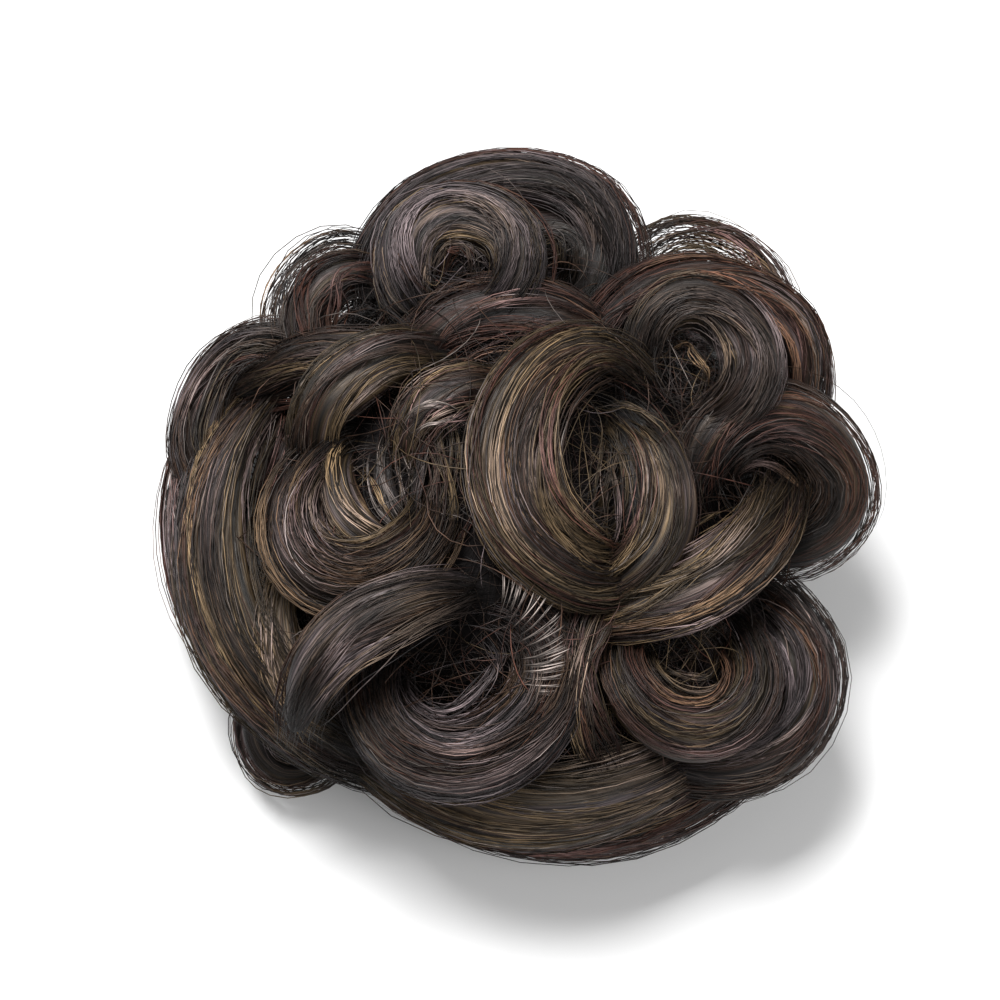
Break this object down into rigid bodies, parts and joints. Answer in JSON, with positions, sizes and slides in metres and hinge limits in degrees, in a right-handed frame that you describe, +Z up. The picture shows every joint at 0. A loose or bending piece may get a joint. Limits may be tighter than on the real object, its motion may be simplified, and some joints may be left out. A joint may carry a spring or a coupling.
{
  "type": "top knot hairpiece",
  "caption": "Messy curled top knot hairpiece: wide curled locks of brown hair sewn on a weft ring round an elastic band, hollow underneath for the wearer's own knot.",
  "frame": {"origin": "middle of the bun's bounding box at its base, on the surface that the weft ring rests on", "axes": "+Z up, out of the top of the bun; +Y to the upper edge of the bun as the picture shows it; +X to its right"},
  "size_m": [0.148, 0.148, 0.065],
  "materials": {
    "hair_brown": "satin hair fibre",
    "hair_under": "satin hair fibre in shade",
    "weft_thread": "matte stitched thread",
    "elastic": "matte woven elastic"
  },
  "bodies": {
    "root": {"back_cover": "hair_brown", "back_curl": "hair_brown", "back_eye": "hair_brown", "back_left_curl": "hair_brown", "back_right_curl": "hair_brown", "brow_lock": "hair_brown", "centre_lock": "hair_brown", "crown_curl": "hair_brown", "crown_stem": "hair_brown", "elastic_band": "elastic", "front_cover": "hair_brown", "front_curl": "hair_brown", "front_sweep_high": "hair_brown", "front_sweep_low": "hair_brown", "front_sweep_mid": "hair_brown", "hair_core": "hair_under", "left_back_lock": "hair_brown", "left_curl": "hair_brown", "left_eye": "hair_brown", "left_front_curl": "hair_brown", "left_sweep": "hair_brown", "left_sweep_low": "hair_brown", "left_tip_lock": "hair_brown", "left_upper_curl": "hair_brown", "middle_lock": "hair_brown", "right_curl": "hair_brown", "right_lower_curl": "hair_brown", "right_lower_eye": "hair_brown", "right_upper_curl": "hair_brown", "right_upper_eye": "hair_brown", "skirt_curl_01": "hair_brown", "skirt_curl_02": "hair_brown", "skirt_curl_03": "hair_brown", "skirt_curl_04": "hair_brown", "skirt_curl_05": "hair_brown", "skirt_curl_06": "hair_brown", "skirt_curl_07": "hair_brown", "skirt_curl_08": "hair_brown", "skirt_curl_09": "hair_brown", "upper_left_lock": "hair_brown", "weft_ring": "weft_thread"}
  },
  "joints": []
}
